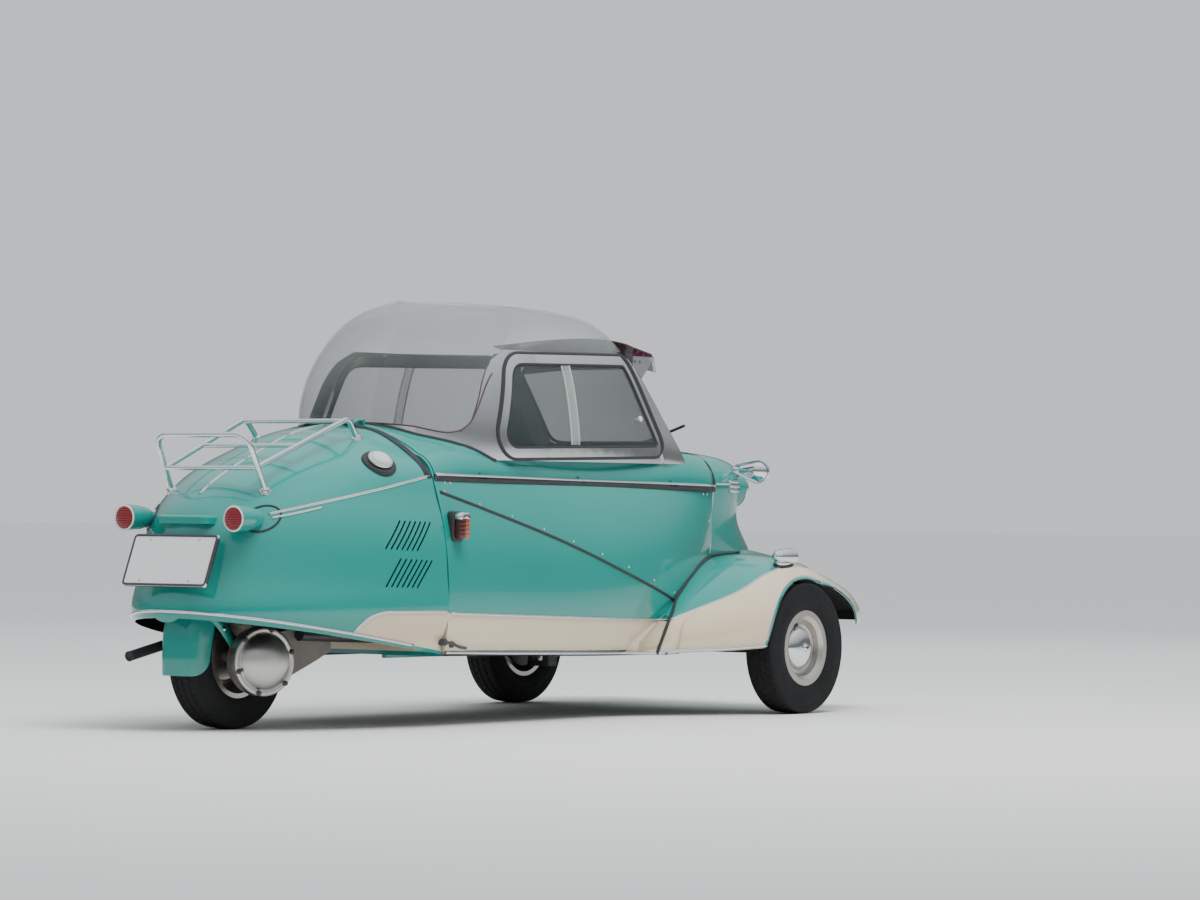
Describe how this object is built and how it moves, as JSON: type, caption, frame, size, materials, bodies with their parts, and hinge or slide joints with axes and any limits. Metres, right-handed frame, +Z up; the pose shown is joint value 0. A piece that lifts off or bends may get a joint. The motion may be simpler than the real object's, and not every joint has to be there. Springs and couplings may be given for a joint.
{
  "type": "bubble car",
  "caption": "Closed tandem bubble car on three wheels, with a side-hinged clear canopy, lifting tail, steered front wheels under fenders and a rear luggage rack.",
  "frame": {"origin": "on the ground, midway along and across the car", "axes": "front faces -Y, the car's right side is -X, +Z is up"},
  "size_m": [1.1944, 2.8301, 1.2255],
  "materials": {
    "teal_paint": "gloss",
    "dark_paint": "satin",
    "clear_shell": "polished",
    "window_pane": "polished",
    "frame_metal": "polished",
    "visor_tint": "gloss",
    "chrome_trim": "polished",
    "cast_cover": "satin",
    "engine_iron": "matte",
    "steel_parts": "satin",
    "red_lens": "gloss",
    "amber_lens": "gloss",
    "plate_white": "satin",
    "rim_silver": "satin",
    "tyre_rubber": "matte",
    "seat_cover": "satin"
  },
  "bodies": {
    "body": {"tub": "teal_paint", "nose_cowl": "teal_paint", "fender_left": "teal_paint", "fender_right": "teal_paint", "front_axle": "dark_paint", "rear_subframe": "dark_paint", "engine_block": "engine_iron", "swing_arm": "dark_paint", "hub_cover": "cast_cover", "rear_mudguard": "teal_paint", "exhaust_pipe": "dark_paint", "headlamps": "teal_paint", "fender_lamps": "chrome_trim", "side_lamps": "amber_lens", "mirror": "chrome_trim", "front_seat": "seat_cover", "rear_seat": "seat_cover", "dash_panel": "dark_paint", "belt_rails": "chrome_trim"},
    "canopy": {"canopy_panel": "teal_paint", "dome": "clear_shell", "windscreen": "clear_shell", "windscreen_frame": "frame_metal", "window_frames": "frame_metal", "window_panes": "window_pane", "sun_visor": "visor_tint"},
    "tail": {"tail_shell": "teal_paint", "tail_lamps": "teal_paint", "tail_lenses": "red_lens", "plate_lamp": "teal_paint", "number_plate": "plate_white", "luggage_rack": "chrome_trim", "fuel_cap": "chrome_trim"},
    "steering": {"steering_bar": "dark_paint"},
    "knuckle_l": {"knuckle_left": "steel_parts"},
    "knuckle_r": {"knuckle_right": "steel_parts"},
    "wheel_fl": {"tyre_front_left": "tyre_rubber", "rim_front_left": "rim_silver", "hub_cap_left": "chrome_trim"},
    "wheel_fr": {"tyre_front_right": "tyre_rubber", "rim_front_right": "rim_silver", "hub_cap_right": "chrome_trim"},
    "wheel_rear": {"tyre_rear": "tyre_rubber", "rim_rear": "rim_silver"}
  },
  "joints": [
    {"name": "canopy_hinge", "type": "hinge", "parent": "body", "child": "canopy", "pos_m": [-0.3277, -0.0635, 0.703], "axis": [0.0413, -0.9991, -0.0135], "range_deg": [0, 80]},
    {"name": "tail_hinge", "type": "hinge", "parent": "body", "child": "tail", "pos_m": [0, 0.671, 0.868], "axis": [1, 0, 0], "range_deg": [0, 35]},
    {"name": "steer", "type": "hinge", "parent": "body", "child": "steering", "pos_m": [0, -0.49, 0.66], "axis": [0, 0.6727, 0.7399], "range_deg": [-20, 20]},
    {"name": "kingpin_l", "type": "hinge", "parent": "body", "child": "knuckle_l", "pos_m": [0.462, -0.89, 0.201], "axis": [0, 0, 1], "range_deg": [-20, 20]},
    {"name": "kingpin_r", "type": "hinge", "parent": "body", "child": "knuckle_r", "pos_m": [-0.462, -0.89, 0.201], "axis": [0, 0, 1], "range_deg": [-20, 20]},
    {"name": "spin_fl", "type": "hinge", "parent": "knuckle_l", "child": "wheel_fl", "pos_m": [0.54, -0.89, 0.201], "axis": [1, 0, 0], "continuous": true},
    {"name": "spin_fr", "type": "hinge", "parent": "knuckle_r", "child": "wheel_fr", "pos_m": [-0.54, -0.89, 0.201], "axis": [1, 0, 0], "continuous": true},
    {"name": "spin_rear", "type": "hinge", "parent": "body", "child": "wheel_rear", "pos_m": [0, 1.14, 0.201], "axis": [1, 0, 0], "continuous": true}
  ],
  "couplings": [
    {"joint": "kingpin_l", "follows": "steer", "ratio": 1},
    {"joint": "kingpin_r", "follows": "steer", "ratio": 1}
  ]
}
